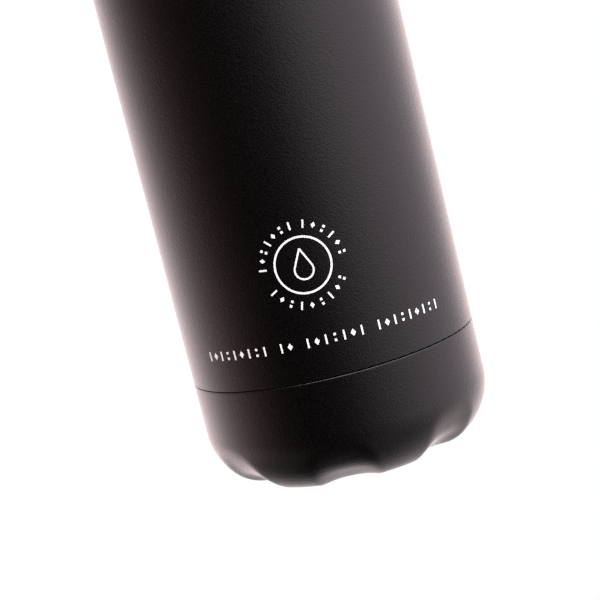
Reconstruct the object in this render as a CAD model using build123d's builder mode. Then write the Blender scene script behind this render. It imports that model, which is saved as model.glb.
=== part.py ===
from build123d import *
import math
import os

# Insulated water bottle: steel double wall, scalloped base cup, screw stopper.
# Millimetres, +Z up, origin on the axis at the plane of the feet, print faces -Y.

os.makedirs("parts", exist_ok=True)

# Body
body_r = 35.0
wall = 0.6
seam_z = 27.1
seam_gap = 0.2
seam_edge = 0.25
step_foot_z = 18.5
step_clearance = 0.3
straight_top_z = 170.0
neck_r = 17.6
neck_z = 230.0
ledge_z = 235.0
lip_r = 16.3
lip_z = 241.0

# Liner
liner_r = 31.0
liner_wall = 0.5
liner_foot_z = 25.5
liner_straight_top_z = 167.0
liner_neck_r = 15.7
mouth_r = 14.7
foil_t = 0.15
getter_r = 4.1
getter_h = 2.0
bead_r = 2.4
hole_r = 1.0

# Base cup
feet = 7
cup_wall = 1.2
cup_bend_z = 14.0
foot_r = 23.1
cup_fullness = 0.515
recess_r = 18.2
recess_h = 3.2
recess_lean = 3.5
valley_radius = 17.0
valley_arc_r = 11.2
valley_top_r = 34.9
valley_top_z = 14.5
valley_lean = 14.0
valley_bend = 45.0
valley_turn = -3.75
valley_edge = 1.5

# Thread
pitch = 5.0
female_crest_r = 13.3
male_root_r = 12.7
male_crest_r = 14.25
female_low_z = 225.0
female_high_z = 236.0
male_low_z = 222.6
male_high_z = 234.0

# Cap
cap_r = 18.0
cap_foot_z = 235.6
cap_top_z = 270.0
cap_wall = 0.8
plug_foot_z = 220.0
plug_wall = 1.6
seal_t = 2.0
cap_edge = 2.6

# Derived
bottom_r = liner_r - liner_wall - 0.05
cup_bore_r = body_r - cup_wall
step_r = cup_bore_r - step_clearance
cover_r = step_r - wall - 0.05
getter_z = liner_foot_z + 1.6
corner_gap = 0.6 * cup_wall
cup_plane = Plane.XZ.rotated((0, 0, valley_turn - 90 - 180 / feet))
flange_z = lip_z + seal_t + 0.1
flange_r = cap_r - cap_wall - 0.3
foam_r = male_root_r - plug_wall - 0.1


def bend(r_top, z_top, r_foot, z_foot):
    """Curved corner from an upright wall down to a level floor."""
    side = (r_top - r_foot) * cup_fullness
    drop = (z_top - z_foot) * cup_fullness
    return Bezier((r_top, z_top), (r_top, z_top - drop), (r_foot + side, z_foot), (r_foot, z_foot))


def shoulder(r_low, z_low, r_high, z_high, lean):
    """Line of an S-shaped shoulder between two upright walls."""
    return Bezier((r_low, z_low), (r_low, z_low + lean), (r_high, z_high - lean), (r_high, z_high))


def valley_cutter(margin):
    """Tube across +X: leans out of the wall at the top, bends, then runs straight down and in."""
    with BuildPart(mode=Mode.PRIVATE) as tube:
        with BuildSketch(Plane.XY) as section:
            with Locations((valley_arc_r + valley_radius, 0)):
                Circle(valley_radius + margin)
        revolve(axis=Axis.Y, revolution_arc=valley_bend)
        extrude(section.sketch, amount=14)
        extrude(tube.faces().filter_by(GeomType.PLANE).sort_by(Axis.Z)[0], amount=40)
    hinge = Location((valley_top_r - valley_arc_r, 0, valley_top_z), (0, valley_lean, 0))
    return hinge * tube.part


def save(builder, name):
    builder.part.label = name
    export_step(builder.part, "parts/" + name + ".step")


# Outer wall: foot step, straight body, shoulder and neck, open at both ends
with BuildPart() as outer_shell:
    with BuildSketch(Plane.XZ):
        with BuildLine():
            outside = shoulder(body_r, straight_top_z, neck_r, neck_z, 34)
            inside = shoulder(body_r - wall, straight_top_z, neck_r - wall, neck_z, 34)
            Polyline((neck_r, neck_z), (neck_r, ledge_z), (liner_neck_r + 0.1, ledge_z),
                     (liner_neck_r + 0.1, ledge_z - wall), (neck_r - wall, ledge_z - wall),
                     (neck_r - wall, neck_z))
            Polyline((body_r - wall, straight_top_z), (body_r - wall, seam_z + seam_gap / 2 + wall),
                     (step_r - wall, seam_z + seam_gap / 2 + wall), (step_r - wall, step_foot_z),
                     (step_r, step_foot_z), (step_r, seam_z + seam_gap / 2),
                     (body_r, seam_z + seam_gap / 2), (body_r, straight_top_z))
        make_face()
    revolve(axis=Axis.Z)
    widest_edges = outer_shell.edges().filter_by(GeomType.CIRCLE).group_by(SortBy.RADIUS)[-1]
    fillet(widest_edges.sort_by(Axis.Z)[0], seam_edge)
    ledge_edge = outer_shell.faces().sort_by(Axis.Z)[-1].edges().sort_by(SortBy.RADIUS)[-1]
    fillet(ledge_edge, 0.4)
save(outer_shell, "outer_shell")

# Liner: straight wall, shoulder, neck and rolled lip, with the female thread inside the neck
with BuildPart() as inner_vessel:
    with BuildSketch(Plane.XZ):
        with BuildLine():
            shoulder(liner_r, liner_straight_top_z, liner_neck_r, neck_z - 5, 32)
            shoulder(liner_r - liner_wall, liner_straight_top_z, mouth_r, neck_z - 5, 32)
            Polyline((liner_neck_r, neck_z - 5), (liner_neck_r, ledge_z + 0.1), (lip_r, ledge_z + 0.1),
                     (lip_r, lip_z), (mouth_r, lip_z), (mouth_r, neck_z - 5))
            Polyline((liner_r - liner_wall, liner_straight_top_z), (liner_r - liner_wall, liner_foot_z),
                     (liner_r, liner_foot_z), (liner_r, liner_straight_top_z))
        make_face()
    revolve(axis=Axis.Z)
    fillet(inner_vessel.faces().sort_by(Axis.Z)[-1].edges(), 0.75)
    with BuildLine() as female_path:
        Helix(pitch, female_high_z - female_low_z, mouth_r, center=(0, 0, female_low_z))
    with BuildSketch(Plane(origin=(mouth_r, 0, female_low_z), x_dir=(1, 0, 0), z_dir=(0, 1, 0))):
        Polygon((0.3, -1.1), (0.3, 1.1), (female_crest_r - mouth_r, 0.6),
                (female_crest_r - mouth_r, -0.6), align=None)
    sweep(path=female_path.wires()[0], is_frenet=True)
save(inner_vessel, "inner_vessel")

# Stopper: hollow threaded plug with a flange that carries the cap shell
with BuildPart() as cap_plug:
    with BuildSketch(Plane.XZ):
        with BuildLine():
            Polyline((male_root_r, plug_foot_z), (male_root_r, flange_z), (flange_r, flange_z),
                     (flange_r, lip_z + 6), (flange_r - plug_wall, lip_z + 6),
                     (flange_r - plug_wall, flange_z + 1.6), (male_root_r - plug_wall, flange_z + 1.6),
                     (male_root_r - plug_wall, plug_foot_z), close=True)
        make_face()
    revolve(axis=Axis.Z)
    with BuildLine() as male_path:
        Helix(pitch, male_high_z - male_low_z, male_root_r, center=(0, 0, male_low_z))
    with BuildSketch(Plane(origin=(male_root_r, 0, male_low_z), x_dir=(1, 0, 0), z_dir=(0, 1, 0))):
        Polygon((-0.3, -1.1), (-0.3, 1.1), (male_crest_r - male_root_r, 0.6),
                (male_crest_r - male_root_r, -0.6), align=None)
    sweep(path=male_path.wires()[0], is_frenet=True)
save(cap_plug, "cap_plug")

# Liner bottom: disc domed up into the bottle, with a short weld flange
with BuildPart() as inner_bottom:
    with BuildSketch(Plane.XZ):
        with BuildLine():
            Bezier((bottom_r, liner_foot_z), (bottom_r / 2, liner_foot_z + 2.2), (0, liner_foot_z + 2.2))
            Bezier((bottom_r - liner_wall, liner_foot_z + 0.8), (bottom_r / 2, liner_foot_z + 2.8),
                   (0, liner_foot_z + 2.8))
            Line((0, liner_foot_z + 2.2), (0, liner_foot_z + 2.8))
            Polyline((bottom_r, liner_foot_z), (bottom_r, liner_foot_z + 4),
                     (bottom_r - liner_wall, liner_foot_z + 4), (bottom_r - liner_wall, liner_foot_z + 0.8))
        make_face()
    revolve(axis=Axis.Z)
save(inner_bottom, "inner_bottom")

# Outer bottom: dished disc with a dimple round the evacuation hole
with BuildPart() as outer_bottom:
    with BuildSketch(Plane.XZ):
        with BuildLine():
            Polyline((cover_r, step_foot_z), (cover_r, step_foot_z + 5), (cover_r - wall, step_foot_z + 5),
                     (cover_r - wall, step_foot_z + wall), (9, step_foot_z + wall + 1.2),
                     (6, step_foot_z + wall + 2.6), (hole_r, step_foot_z + wall + 2.6),
                     (hole_r, step_foot_z + 2.6), (6, step_foot_z + 2.6), (9, step_foot_z + 1.2),
                     (cover_r - wall, step_foot_z), close=True)
        make_face()
    revolve(axis=Axis.Z)
save(outer_bottom, "outer_bottom")

# Solder bead: stem through the hole and a drop in the dimple
with BuildPart() as vacuum_seal_bead:
    with Locations((0, 0, step_foot_z + 2.6)):
        Cylinder(hole_r, wall, align=(Align.CENTER, Align.CENTER, Align.MIN))
    with Locations((0, 0, step_foot_z + 1.6)):
        Cylinder(bead_r, 1.0, align=(Align.CENTER, Align.CENTER, Align.MIN))
    fillet(vacuum_seal_bead.faces().sort_by(Axis.Z)[0].edges(), 0.7)
save(vacuum_seal_bead, "vacuum_seal_bead")

# Getter: pressed clip under the liner and the pill it holds
with BuildPart() as getter_holder:
    with BuildSketch(Plane.XZ):
        with BuildLine():
            Polyline((0, getter_z + 0.4), (0, getter_z), (getter_r + 0.1, getter_z),
                     (getter_r + 0.1, getter_z - getter_h - 0.2), (getter_r + 0.5, getter_z - getter_h - 0.2),
                     (getter_r + 0.5, getter_z), (getter_r + 2.4, getter_z),
                     (getter_r + 2.4, getter_z + 0.4), close=True)
        make_face()
    revolve(axis=Axis.Z)
save(getter_holder, "getter_holder")

with BuildPart() as getter_pill:
    with Locations((0, 0, getter_z - 0.1 - getter_h)):
        Cylinder(getter_r, getter_h, align=(Align.CENTER, Align.CENTER, Align.MIN))
    chamfer(getter_pill.edges().filter_by(GeomType.CIRCLE), 0.3)
save(getter_pill, "getter_pill")

# Reflective foil round the liner
with BuildPart() as copper_foil:
    with Locations((0, 0, liner_foot_z + 3)):
        Cylinder(liner_r + 0.1 + foil_t, liner_straight_top_z - liner_foot_z - 5,
                 align=(Align.CENTER, Align.CENTER, Align.MIN))
        Cylinder(liner_r + 0.1, liner_straight_top_z - liner_foot_z - 5,
                 align=(Align.CENTER, Align.CENTER, Align.MIN), mode=Mode.SUBTRACT)
save(copper_foil, "copper_foil")

# Base cup: hollow inside the scallops
with BuildPart() as cup_hollow:
    with BuildSketch(cup_plane):
        with BuildLine():
            bend(cup_bore_r, cup_bend_z, foot_r - corner_gap, cup_wall)
            Polyline((foot_r - corner_gap, cup_wall), (recess_r + corner_gap, cup_wall),
                     (recess_r - recess_lean + corner_gap, recess_h + cup_wall), (0, recess_h + cup_wall),
                     (0, seam_z + 1), (cup_bore_r, seam_z + 1), (cup_bore_r, cup_bend_z))
        make_face()
    revolve(axis=Axis.Z)
    for index in range(feet):
        with Locations(Location((0, 0, 0), (0, 0, valley_turn - 90 + index * 360 / feet))):
            add(valley_cutter(cup_wall), mode=Mode.SUBTRACT)

# Base cup: scalloped outer form, softened valley edges, then the hollow
with BuildPart() as base_cup:
    with BuildSketch(cup_plane):
        with BuildLine():
            bend(body_r, cup_bend_z, foot_r, 0)
            Polyline((foot_r, 0), (recess_r, 0), (recess_r - recess_lean, recess_h), (0, recess_h),
                     (0, seam_z - seam_gap / 2), (body_r, seam_z - seam_gap / 2),
                     (body_r, cup_bend_z))
        make_face()
    revolve(axis=Axis.Z)
    for index in range(feet):
        with Locations(Location((0, 0, 0), (0, 0, valley_turn - 90 + index * 360 / feet))):
            add(valley_cutter(0), mode=Mode.SUBTRACT)
    bends = base_cup.faces().filter_by(GeomType.TORUS)
    fillet(bends.edges(), valley_edge)
    fillet(base_cup.edges().filter_by(GeomType.CIRCLE).sort_by(Axis.Z)[-1], seam_edge)
    fillet(base_cup.edges().filter_by(GeomType.CIRCLE).group_by(Axis.Z)[0].sort_by(SortBy.RADIUS)[0], 0.8)
    add(cup_hollow.part, mode=Mode.SUBTRACT)
save(base_cup, "base_cup")

# Bond between the base cup and the stepped-in shell
with BuildPart() as base_adhesive:
    with Locations((0, 0, step_foot_z + 1)):
        Cylinder(cup_bore_r - 0.02, 6, align=(Align.CENTER, Align.CENTER, Align.MIN))
        Cylinder(step_r + 0.02, 6, align=(Align.CENTER, Align.CENTER, Align.MIN), mode=Mode.SUBTRACT)
save(base_adhesive, "base_adhesive")

# Cap: steel skin, closed at the top
with BuildPart() as cap_shell:
    with Locations((0, 0, cap_foot_z)):
        Cylinder(cap_r, cap_top_z - cap_foot_z, align=(Align.CENTER, Align.CENTER, Align.MIN))
    fillet(cap_shell.faces().sort_by(Axis.Z)[-1].edges(), cap_edge)
    with Locations((0, 0, cap_foot_z)):
        Cylinder(cap_r - cap_wall, cap_top_z - cap_foot_z - cap_wall,
                 align=(Align.CENTER, Align.CENTER, Align.MIN), mode=Mode.SUBTRACT)
    fillet(cap_shell.faces().sort_by(Axis.Z)[0].edges(), 0.25)
save(cap_shell, "cap_shell")

# Cap insulation: core in the stopper and a wider head in the skin
with BuildPart() as cap_foam:
    with BuildSketch(Plane.XZ):
        with BuildLine():
            Polyline((0, plug_foot_z + 2.0), (foam_r, plug_foot_z + 2.0), (foam_r, flange_z + 1.8),
                     (flange_r - plug_wall - 0.2, flange_z + 1.8), (flange_r - plug_wall - 0.2, lip_z + 6.2),
                     (flange_r, lip_z + 6.2), (flange_r, cap_top_z - cap_edge - 0.4),
                     (flange_r - 1.2, cap_top_z - cap_wall - 0.4), (0, cap_top_z - cap_wall - 0.4), close=True)
        make_face()
    revolve(axis=Axis.Z)
save(cap_foam, "cap_foam")

# Disc that closes the stopper from below
with BuildPart() as cap_plug_cover:
    with Locations((0, 0, plug_foot_z)):
        Cylinder(male_root_r - plug_wall - 0.03, 1.6, align=(Align.CENTER, Align.CENTER, Align.MIN))
    chamfer(cap_plug_cover.faces().sort_by(Axis.Z)[0].edges(), 0.4)
save(cap_plug_cover, "cap_plug_cover")

# Silicone ring between the flange and the lip
with BuildPart() as cap_seal_ring:
    with Locations((0, 0, lip_z + 0.05)):
        Cylinder(lip_r + 0.3, seal_t, align=(Align.CENTER, Align.CENTER, Align.MIN))
        Cylinder(male_root_r + 0.1, seal_t, align=(Align.CENTER, Align.CENTER, Align.MIN), mode=Mode.SUBTRACT)
    rims = cap_seal_ring.edges().filter_by(GeomType.CIRCLE)
    fillet(rims.sort_by(SortBy.RADIUS)[-2:], 0.5)
save(cap_seal_ring, "cap_seal_ring")

# Bond between the cap skin and the stopper flange
with BuildPart() as cap_adhesive:
    with Locations((0, 0, flange_z + 0.5)):
        Cylinder(cap_r - cap_wall - 0.02, 3.2, align=(Align.CENTER, Align.CENTER, Align.MIN))
        Cylinder(flange_r + 0.02, 3.2, align=(Align.CENTER, Align.CENTER, Align.MIN), mode=Mode.SUBTRACT)
save(cap_adhesive, "cap_adhesive")
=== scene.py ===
"""Insulated water bottle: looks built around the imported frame. Metres, row frame."""

import math

import bpy
import numpy as np
from mathutils import Matrix, Vector


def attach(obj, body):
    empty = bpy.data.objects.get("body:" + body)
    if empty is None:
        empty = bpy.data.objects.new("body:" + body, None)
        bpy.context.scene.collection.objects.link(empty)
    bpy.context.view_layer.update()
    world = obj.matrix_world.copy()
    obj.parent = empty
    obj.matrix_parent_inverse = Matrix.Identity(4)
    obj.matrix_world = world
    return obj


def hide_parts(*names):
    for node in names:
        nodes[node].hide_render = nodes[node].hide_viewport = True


SEGMENTS = 280
FEET = 7
BODY_R = 0.035
CUP_TOP = 0.02708
VALLEY_TURN = math.radians(-93.9)

# ---------------------------------------------------------------- camera

cam_data = bpy.data.cameras.new("camera")
cam_data.lens = 85
cam_data.sensor_width = 36
cam_data.clip_start = 0.01
cam = bpy.data.objects.new("camera", cam_data)
bpy.context.scene.collection.objects.link(cam)
cam_right = Vector((0.97043, 0.02841, -0.2397))
cam_up = Vector((0.23217, 0.1618, 0.95912))
cam_back = cam_right.cross(cam_up)
cam.matrix_world = Matrix.Translation((0.018102, -0.342875, 0.092747)) @ Matrix(
    (cam_right, cam_up, cam_back)
).transposed().to_4x4()
bpy.context.scene.camera = cam
bpy.context.scene.view_settings.view_transform = "Standard"

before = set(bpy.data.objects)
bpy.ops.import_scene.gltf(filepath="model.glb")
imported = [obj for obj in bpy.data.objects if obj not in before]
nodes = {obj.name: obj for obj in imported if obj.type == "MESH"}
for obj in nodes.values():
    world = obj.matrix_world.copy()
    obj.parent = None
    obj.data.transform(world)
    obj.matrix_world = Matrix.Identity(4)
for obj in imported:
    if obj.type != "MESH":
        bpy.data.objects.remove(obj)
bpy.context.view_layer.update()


# ---------------------------------------------------------------- materials


class Graph:
    """Short calls for building a node tree."""

    def __init__(self, tree):
        self.tree = tree
        tree.nodes.clear()

    def node(self, kind, links=None, **settings):
        made = self.tree.nodes.new(kind)
        for key, value in settings.items():
            setattr(made, key, value)
        for socket, value in (links or {}).items():
            target = made.inputs[socket]
            if isinstance(value, bpy.types.NodeSocket):
                self.tree.links.new(value, target)
            else:
                target.default_value = value
        return made

    def math(self, operation, *values):
        made = self.node("ShaderNodeMath", operation=operation)
        for place, value in enumerate(values):
            if isinstance(value, bpy.types.NodeSocket):
                self.tree.links.new(value, made.inputs[place])
            else:
                made.inputs[place].default_value = value
        return made.outputs[0]

    def ramp(self, factor, stops):
        made = self.node("ShaderNodeValToRGB", {"Fac": factor})
        band = made.color_ramp
        while len(band.elements) < len(stops):
            band.elements.new(0.5)
        for element, (place, colour) in zip(band.elements, stops):
            element.position = place
            element.color = (*colour, 1)
        return made.outputs[0]

    def mix(self, factor, first, second):
        made = self.node("ShaderNodeMix", data_type="RGBA")
        for place, value in ((0, factor), (6, first), (7, second)):
            if isinstance(value, bpy.types.NodeSocket):
                self.tree.links.new(value, made.inputs[place])
            else:
                made.inputs[place].default_value = value
        return made.outputs[2]

    def slope(self, value, start, stop, kind="SMOOTHSTEP"):
        """0 up to start, 1 from stop on."""
        made = self.node("ShaderNodeMapRange", {"Value": value, "From Min": start, "From Max": stop})
        made.clamp = True
        made.interpolation_type = kind
        return made.outputs[0]


def new_material(name):
    made = bpy.data.materials.new(name)
    made.use_nodes = True
    return made, Graph(made.node_tree)


def coated(name, base, light, rough):
    """Powder coat: fine orange-peel grain over satin black."""
    made, g = new_material(name)
    place = g.node("ShaderNodeTexCoord").outputs["Object"]
    fine = g.node("ShaderNodeTexNoise", {"Vector": place, "Scale": 3400.0, "Detail": 1.0}).outputs["Fac"]
    peel = g.node("ShaderNodeTexNoise", {"Vector": place, "Scale": 2000.0, "Detail": 1.0}).outputs["Fac"]
    cloud = g.node("ShaderNodeTexNoise", {"Vector": place, "Scale": 40.0, "Detail": 3.0}).outputs["Fac"]
    height = g.math("ADD", g.math("MULTIPLY", fine, 0.45), g.math("MULTIPLY", peel, 0.55))
    bump = g.node("ShaderNodeBump", {"Height": height, "Strength": 0.9, "Distance": 0.0001})
    tone = g.mix(g.slope(fine, 0.38, 0.62, "LINEAR"), base, light)
    gloss = g.math("ADD", rough - 0.03, g.math("MULTIPLY", cloud, 0.06))
    shader = g.node(
        "ShaderNodeBsdfPrincipled",
        {"Base Color": tone, "Roughness": gloss, "Normal": bump.outputs[0], "IOR": 1.5},
    )
    g.node("ShaderNodeOutputMaterial", {"Surface": shader.outputs[0]})
    return made


def plain(name, base, light, rough, metal=0.0, scale=300.0, relief=0.00002, stretch=(1, 1, 1)):
    """Moulded, pressed or cast stock: two tones, uneven gloss and a fine relief."""
    made, g = new_material(name)
    place = g.node("ShaderNodeTexCoord").outputs["Object"]
    laid = g.node("ShaderNodeMapping", {"Vector": place, "Scale": stretch}).outputs[0]
    fine = g.node("ShaderNodeTexNoise", {"Vector": laid, "Scale": scale, "Detail": 4.0}).outputs["Fac"]
    bump = g.node("ShaderNodeBump", {"Height": fine, "Strength": 0.3, "Distance": relief})
    tone = g.mix(fine, base, light)
    gloss = g.math("ADD", rough - 0.05, g.math("MULTIPLY", fine, 0.1))
    shader = g.node(
        "ShaderNodeBsdfPrincipled",
        {"Base Color": tone, "Metallic": metal, "Roughness": gloss, "Normal": bump.outputs[0]},
    )
    g.node("ShaderNodeOutputMaterial", {"Surface": shader.outputs[0]})
    return made


def dress(thing, material):
    thing.data.materials.clear()
    thing.data.materials.append(material)


COAT = coated("powder_coat", (0.0002, 0.0001, 0.0001, 1), (0.0032, 0.0026, 0.0026, 1), 0.28)
STEEL = plain("steel", (0.56, 0.55, 0.53, 1), (0.66, 0.65, 0.63, 1), 0.28, 1.0, 900.0, 0.00001, (1, 1, 0.06))
PRESSED = plain("pressed_steel", (0.5, 0.49, 0.48, 1), (0.58, 0.57, 0.56, 1), 0.38, 1.0, 260.0)
SOLDER = plain("solder", (0.6, 0.6, 0.61, 1), (0.7, 0.7, 0.71, 1), 0.45, 1.0, 700.0, 0.00008)
GETTER = plain("getter", (0.13, 0.13, 0.135, 1), (0.24, 0.24, 0.25, 1), 0.75, 0.3, 1800.0, 0.0001)
COPPER = plain("copper", (0.66, 0.33, 0.19, 1), (0.78, 0.43, 0.27, 1), 0.22, 1.0, 130.0, 0.0001)
GLUE = plain("adhesive", (0.66, 0.63, 0.54, 1), (0.78, 0.76, 0.68, 1), 0.5, 0.0, 400.0, 0.00005)
STOPPER = plain("stopper", (0.022, 0.022, 0.024, 1), (0.034, 0.034, 0.036, 1), 0.42, 0.0, 1500.0, 0.00003)
FOAM = plain("foam", (0.8, 0.79, 0.73, 1), (0.9, 0.89, 0.85, 1), 0.85, 0.0, 1400.0, 0.0002)
SILICONE = plain("silicone", (0.42, 0.42, 0.42, 1), (0.5, 0.5, 0.5, 1), 0.5, 0.0, 900.0)
INK = plain("ink", (0.86, 0.86, 0.87, 1), (0.93, 0.93, 0.94, 1), 0.5, 0.0, 2500.0, 0.00002)

LOOKS = {
    "outer_shell": COAT,
    "base_cup": COAT,
    "cap_shell": COAT,
    "inner_vessel": STEEL,
    "inner_bottom": PRESSED,
    "outer_bottom": PRESSED,
    "getter_holder": PRESSED,
    "vacuum_seal_bead": SOLDER,
    "getter_pill": GETTER,
    "copper_foil": COPPER,
    "base_adhesive": GLUE,
    "cap_adhesive": GLUE,
    "cap_plug": STOPPER,
    "cap_plug_cover": STOPPER,
    "cap_foam": FOAM,
    "cap_seal_ring": SILICONE,
}
for name, look in LOOKS.items():
    dress(nodes[name], look)


# ---------------------------------------------------------------- base cup

FOOT_R = 0.023
BEND_Z = 0.014
BEND_LEAN = 0.52
VALLEY_TOP_Z = 0.014
VALLEY_TOP_R = 0.03463
VALLEY_ARC_R = 0.0112
VALLEY_LEAN = math.radians(38)
VALLEY_END = math.radians(60)
VALLEY_HALF = 0.0081
VALLEY_FLARE = 0.34
VALLEY_SPREAD = 0.003
VALLEY_POWER = 2.6
SOFT = 0.0020
HALVINGS = 24
CUP_WALL = 0.0012
RIM_R = 0.00025
RECESS_R = 0.0190
RECESS_Z = 0.0032
RECESS_EDGE_R = 0.0008
ROW_GAP = 0.0004
PLAIN_Z = 0.0225
PLAIN_BLEND = 0.002
EYE_Z = 0.020


def resampled(points, count):
    """The same line with its points evenly spaced."""
    points = np.array(points)
    run = np.r_[0, np.cumsum(np.hypot(*np.diff(points, axis=0).T))]
    at = np.linspace(0, run[-1], count)
    return np.c_[np.interp(at, run, points[:, 0]), np.interp(at, run, points[:, 1])]


def round_corner(radius, centre, start, stop, count=8):
    """Points of a small arc, angles in degrees."""
    return [(centre[0] + radius * math.cos(math.radians(start + (stop - start) * i / count)),
             centre[1] + radius * math.sin(math.radians(start + (stop - start) * i / count)))
            for i in range(count + 1)]


def cup_bend(count):
    """Corner between the upright wall and the plane of the feet."""
    lean = (BODY_R - FOOT_R) * BEND_LEAN
    p = np.array([(BODY_R, BEND_Z), (BODY_R, BEND_Z * (1 - BEND_LEAN)), (FOOT_R + lean, 0), (FOOT_R, 0)])
    t = np.linspace(0, 1, count)[:, None]
    return (1 - t) ** 3 * p[0] + 3 * (1 - t) ** 2 * t * p[1] + 3 * (1 - t) * t * t * p[2] + t ** 3 * p[3]


def past_valley(x, y, z):
    """Positive outside the tube that bends out of the wall and then runs straight down and in."""
    across = x - (VALLEY_TOP_R - VALLEY_ARC_R)
    above = z - VALLEY_TOP_Z
    lean = np.clip(np.arctan2(-above, np.maximum(across, 1e-6)), VALLEY_LEAN, VALLEY_END)
    beyond = across * np.cos(lean) - above * np.sin(lean) - VALLEY_ARC_R
    half = VALLEY_HALF + VALLEY_FLARE * z
    return beyond - VALLEY_SPREAD * (np.abs(y) / half) ** VALLEY_POWER


def valley_reach(out, up, turns, limit):
    """How far from the eye point each ray meets the valley, up to the limit."""
    near, far = np.zeros_like(limit), limit.copy()
    x, y = out * np.cos(turns), out * np.sin(turns)
    for _ in range(HALVINGS):
        middle = (near + far) / 2
        past = past_valley(middle * x, middle * y, EYE_Z + middle * up) > 0
        near, far = np.where(past, near, middle), np.where(past, middle, far)
    return far


def soft_min(first, second, soft):
    """Smaller of two lengths, blended where they are close."""
    share = np.clip(0.5 + 0.5 * (second - first) / soft, 0, 1)
    return second * (1 - share) + first * share - soft * share * (1 - share)


def cup_mesh():
    """Scalloped cup as one closed skin: rim, wall, feet and recess outside, the same form inside."""
    rim = [(BODY_R - CUP_WALL, CUP_TOP)]
    rim += round_corner(RIM_R, (BODY_R - RIM_R, CUP_TOP - RIM_R), 90, 0)
    wall = resampled([rim[-1], (BODY_R, BEND_Z + 0.0002)], 26)[1:]
    corner = resampled(cup_bend(200), 90)
    under = [(r, 0.0) for r in np.linspace(FOOT_R - ROW_GAP, RECESS_R, 12)]
    under += round_corner(RECESS_EDGE_R, (RECESS_R, RECESS_EDGE_R), 270, 225, 5)[1:]
    under += [(0.0172, 0.0011), (0.0160, 0.0022), (0.0154, 0.0027), (0.0146, 0.0031)]
    under += [(r, RECESS_Z) for r in (0.0136, 0.011, 0.008, 0.005, 0.002)]
    line = np.vstack([rim, wall, corner, under])

    turns = np.linspace(0, 2 * math.pi, SEGMENTS, endpoint=False)
    sector = 2 * math.pi / FEET
    folded = (turns - VALLEY_TURN + sector / 2) % sector - sector / 2
    plain_reach = np.hypot(line[:, 0], line[:, 1] - EYE_Z)
    out = np.outer(line[:, 0] / plain_reach, np.ones(SEGMENTS))
    up = np.outer((line[:, 1] - EYE_Z) / plain_reach, np.ones(SEGMENTS))
    plain_reach = np.outer(plain_reach, np.ones(SEGMENTS))
    cut = soft_min(plain_reach, valley_reach(out, up, folded[None], plain_reach * 1.5), SOFT)
    fade = np.clip((line[:, 1] - PLAIN_Z) / PLAIN_BLEND, 0, 1)[:, None]
    outer_reach = cut * (1 - fade) + plain_reach * fade

    recess_row, bend_row = len(line) - 9, len(rim) + len(wall) + 5
    hollow = (range(recess_row, bend_row - 1, -6), outer_reach - CUP_WALL, BODY_R - CUP_WALL)
    skin_rows = (range(len(line)), outer_reach, BODY_R)
    verts, rings = [], []
    for rows, reach, widest in (hollow, skin_rows):
        for row in rows:
            start = len(verts)
            radii = np.minimum(reach[row] * out[row], widest)
            heights = EYE_Z + reach[row] * up[row]
            verts += zip(radii * np.cos(turns), radii * np.sin(turns), heights)
            rings.append(list(range(start, start + SEGMENTS)))
    return verts, rings


def skin(name, verts, rings, caps=()):
    """Joins rings of equal length into a closed, smooth-shaded mesh; caps are (ring, point, outward)."""
    faces = []
    for low, high in zip(rings, rings[1:]):
        for k in range(len(low)):
            n = (k + 1) % len(low)
            faces.append((low[k], high[k], high[n], low[n]))
    for ring, point, flip in caps:
        verts.append(point)
        for k in range(len(ring)):
            n = (k + 1) % len(ring)
            faces.append((ring[n], ring[k], len(verts) - 1) if flip else (ring[k], ring[n], len(verts) - 1))
    mesh = bpy.data.meshes.new(name)
    mesh.from_pydata([tuple(float(c) for c in v) for v in verts], [], faces)
    mesh.update()
    for face in mesh.polygons:
        face.use_smooth = True
    thing = bpy.data.objects.new(name, mesh)
    bpy.context.scene.collection.objects.link(thing)
    return thing


verts, rings = cup_mesh()
middle = [(rings[-1], (0, 0, RECESS_Z), False), (rings[0], (0, 0, RECESS_Z + CUP_WALL), True)]
cup = skin("base_cup_shaped", verts, rings, middle)
dress(cup, COAT)
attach(cup, "bottle")
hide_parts("base_cup")


# ---------------------------------------------------------------- printed ink

INK_LIFT = 0.00005
INK_SINK = 0.00012
EMBLEM_Z = 0.0532
RING_R = 0.0063
MARKS_R = 0.0091
MARK_LINE_Z = 0.0359
MARK_STEP = 0.00207
STROKE = 0.0004
RING_STROKE = 0.00045
DOT = 0.00056
RING_MARK = 0.0009
LINE_MARK = 0.0011
DROP_R = 0.0021
DROP_LOW = 0.0011
DROP_REACH = 2.3


def printed(name, outlines):
    """Flat outlines given as (along the wall, up) in metres from the front line, laid on the wall."""
    verts, faces = [], []
    for ring in outlines:
        start = len(verts)
        count = len(ring)
        for radius in (BODY_R + INK_LIFT, BODY_R - INK_SINK):
            for along, up in ring:
                turn = along / BODY_R - math.pi / 2
                verts.append((radius * math.cos(turn), radius * math.sin(turn), up))
        faces.append([start + i for i in range(count)])
        faces.append([start + count + i for i in reversed(range(count))])
        for i in range(count):
            j = (i + 1) % count
            faces.append([start + j, start + i, start + count + i, start + count + j])
    mesh = bpy.data.meshes.new(name)
    mesh.from_pydata(verts, [], faces)
    mesh.update()
    thing = bpy.data.objects.new(name, mesh)
    bpy.context.scene.collection.objects.link(thing)
    dress(thing, INK)
    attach(thing, "bottle")


def bar(start, stop, width=STROKE):
    """A straight stroke between two points."""
    run = Vector(stop) - Vector(start)
    side = Vector((-run.y, run.x)).normalized() * width / 2
    return [tuple(Vector(p) + side * sign) for p, sign in ((start, -1), (stop, -1), (stop, 1), (start, 1))]


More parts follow.
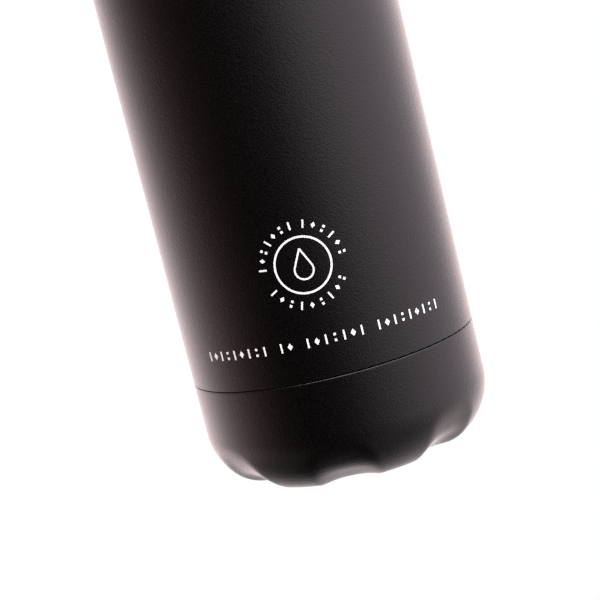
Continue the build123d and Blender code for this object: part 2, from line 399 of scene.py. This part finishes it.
def bow(centre, radius, start, stop, count, width=STROKE):
    """A stroke along an arc, drawn as short quads; angles in radians."""
    quads = []
    for i in range(count):
        a0, a1 = (start + (stop - start) * k / count for k in (i, i + 1))
        quads.append([
            (centre[0] + r * math.cos(a), centre[1] + r * math.sin(a))
            for r, a in ((radius - width / 2, a0), (radius + width / 2, a0),
                         (radius + width / 2, a1), (radius - width / 2, a1))
        ])
    return quads


def post(size):
    """A single upright stroke."""
    return [bar((0, -size), (0, size))]


def gem(size):
    """A solid diamond."""
    return [[(0, -size * 0.75), (size * 0.55, 0), (0, size * 0.75), (-size * 0.55, 0)]]


def dots(size):
    """Two small solid squares, one above the other."""
    return [bar((0, level - DOT / 2), (0, level + DOT / 2), DOT) for level in (-size * 0.6, size * 0.6)]


def placed(strokes, centre, turn):
    """Strokes turned and moved to their place in the print."""
    c, s = math.cos(turn), math.sin(turn)
    return [[(centre[0] + x * c - y * s, centre[1] + x * s + y * c) for x, y in ring] for ring in strokes]


def marks_on_ring(first, step, count, outward):
    """Generic marks along the emblem's ring, upright as seen from outside or from inside."""
    shapes = (post, gem, dots)
    laid = []
    for i in range(count):
        angle = math.radians(first + step * i)
        centre = (MARKS_R * math.cos(angle), EMBLEM_Z + MARKS_R * math.sin(angle))
        turn = angle - math.pi / 2 if outward else angle + math.pi / 2
        laid += placed(shapes[i % 3](RING_MARK), centre, turn)
    return laid


def drop(centre, radius):
    """A plain water drop: round below, drawn up to a point."""
    tip = (centre[0], centre[1] + radius * DROP_REACH)
    spread = math.acos(1 / DROP_REACH)
    left, right = math.pi / 2 + spread, math.pi / 2 - spread
    ends = [(centre[0] + radius * math.cos(a), centre[1] + radius * math.sin(a)) for a in (left, right)]
    return bow(centre, radius, left, right + 2 * math.pi, 24) + [bar(end, tip) for end in ends]


emblem = bow((0, EMBLEM_Z), RING_R, 0, 2 * math.pi, 96, RING_STROKE)
emblem += drop((0, EMBLEM_Z - DROP_LOW), DROP_R)
emblem += marks_on_ring(176, -13.3, 7, True)
emblem += marks_on_ring(77, -14.4, 6, True)
emblem += marks_on_ring(211, 14.6, 9, False)
printed("print_emblem", emblem)

line = []
shapes = (post, gem, post, dots)
groups = (9, 2, 7, 9)
slot = -(sum(groups) + len(groups) - 2) / 2
for group in groups:
    for i in range(group):
        line += placed(shapes[i % 4](LINE_MARK), (slot * MARK_STEP, MARK_LINE_Z), 0)
        slot += 1
    slot += 1
printed("print_line", line)

# ---------------------------------------------------------------- stage and light

FRONT_X, FRONT_Y = 0.0668, -0.9978
PEAK = 3.0

bpy.ops.mesh.primitive_plane_add(size=4, location=(0, 0, -0.0002))
floor = bpy.context.active_object
floor.name = "floor"
floor_look, g = new_material("floor")
glow = g.node("ShaderNodeEmission", {"Color": (1, 1, 1, 1), "Strength": 1.0})
g.node("ShaderNodeOutputMaterial", {"Surface": glow.outputs[0]})
dress(floor, floor_look)
floor.visible_glossy = False
floor.visible_diffuse = False
floor.visible_shadow = False

world = bpy.data.worlds.new("studio")
bpy.context.scene.world = world
world.use_nodes = True
g = Graph(world.node_tree)
ray = g.node("ShaderNodeTexCoord").outputs["Generated"]
parts = g.node("ShaderNodeSeparateXYZ", {"Vector": ray})
x, y, z = parts.outputs
across = g.math("ADD", g.math("MULTIPLY", x, -FRONT_Y), g.math("MULTIPLY", y, FRONT_X))
ahead = g.math("ADD", g.math("MULTIPLY", x, FRONT_X), g.math("MULTIPLY", y, FRONT_Y))
turn = g.math("ADD", g.math("DIVIDE", g.math("ARCTAN2", across, ahead), 2 * math.pi), 0.5)


def light_ramp(stops):
    """Brightness round the horizon; stops are (degrees from the front, level, tint)."""
    return g.ramp(turn, [
        ((azimuth + 180) / 360, tuple(c * level / PEAK for c in tint)) for azimuth, level, tint in stops
    ])


RED = (1.22, 0.78, 0.8)
WARM = (1.1, 0.9, 0.92)
COOL = (1.04, 0.93, 1.01)
low = light_ramp([
    (-180, 2.2, WARM), (-135, 2.2, WARM), (-115, 1.5, WARM), (-90, 0.75, RED), (-68, 0.2, RED),
    (-45, 0.0, RED), (-2, 0.0, COOL), (14, 0.1, COOL), (34, 0.4, COOL), (56, 0.86, COOL), (86, 1.3, COOL),
    (120, 1.3, COOL), (145, 2.2, WARM), (180, 2.2, WARM),
])
high = light_ramp([
    (-180, 2.2, WARM), (-145, 2.0, WARM), (-119, 1.0, WARM), (-90, 0.28, RED), (-70, 0.1, RED),
    (-30, 0.02, RED), (0, 0.12, COOL), (20, 0.75, COOL), (38, 1.4, COOL), (60, 1.75, COOL),
    (120, 1.7, COOL), (145, 2.2, WARM), (180, 2.2, WARM),
])
sides = g.mix(g.slope(z, -0.25, 0.12), low, high)
back = g.math("SUBTRACT", g.math("MULTIPLY", across, 0.45), ahead)
dark = g.mix(g.slope(across, -0.45, -0.80, "LINEAR"), (0.01, 0.008, 0.008, 1), (0.12, 0.10, 0.10, 1))
shade = g.mix(g.slope(across, -0.15, 0.40), dark, (0.11, 0.097, 0.10, 1))
below = g.mix(g.slope(back, -0.20, 0.75), shade, (0.42, 0.37, 0.38, 1))
level = g.mix(g.slope(z, -0.40, -0.62), sides, below)
overhead = g.math("MULTIPLY", g.slope(z, 0.50, 0.80, "LINEAR"), g.slope(across, -0.45, -0.10, "LINEAR"))
around = g.mix(overhead, level, (2.2, 2.0, 2.0, 1))
seen = g.node("ShaderNodeLightPath").outputs["Is Camera Ray"]
soft = g.node("ShaderNodeBackground", {"Color": around, "Strength": PEAK})
white = g.node("ShaderNodeBackground", {"Color": (1, 1, 1, 1), "Strength": 1.0})
both = g.node("ShaderNodeMixShader", {0: seen, 1: soft.outputs[0], 2: white.outputs[0]})
g.node("ShaderNodeOutputWorld", {"Surface": both.outputs[0]})

fill_data = bpy.data.lights.new("fill", "AREA")
fill_data.shape = "DISK"
fill_data.size = 0.5
fill_data.energy = 3.6
fill = bpy.data.objects.new("fill", fill_data)
fill.location = (-0.02, -0.8, 0.22)
fill.rotation_euler = (math.radians(78), 0, 0)
fill.visible_glossy = False
bpy.context.scene.collection.objects.link(fill)
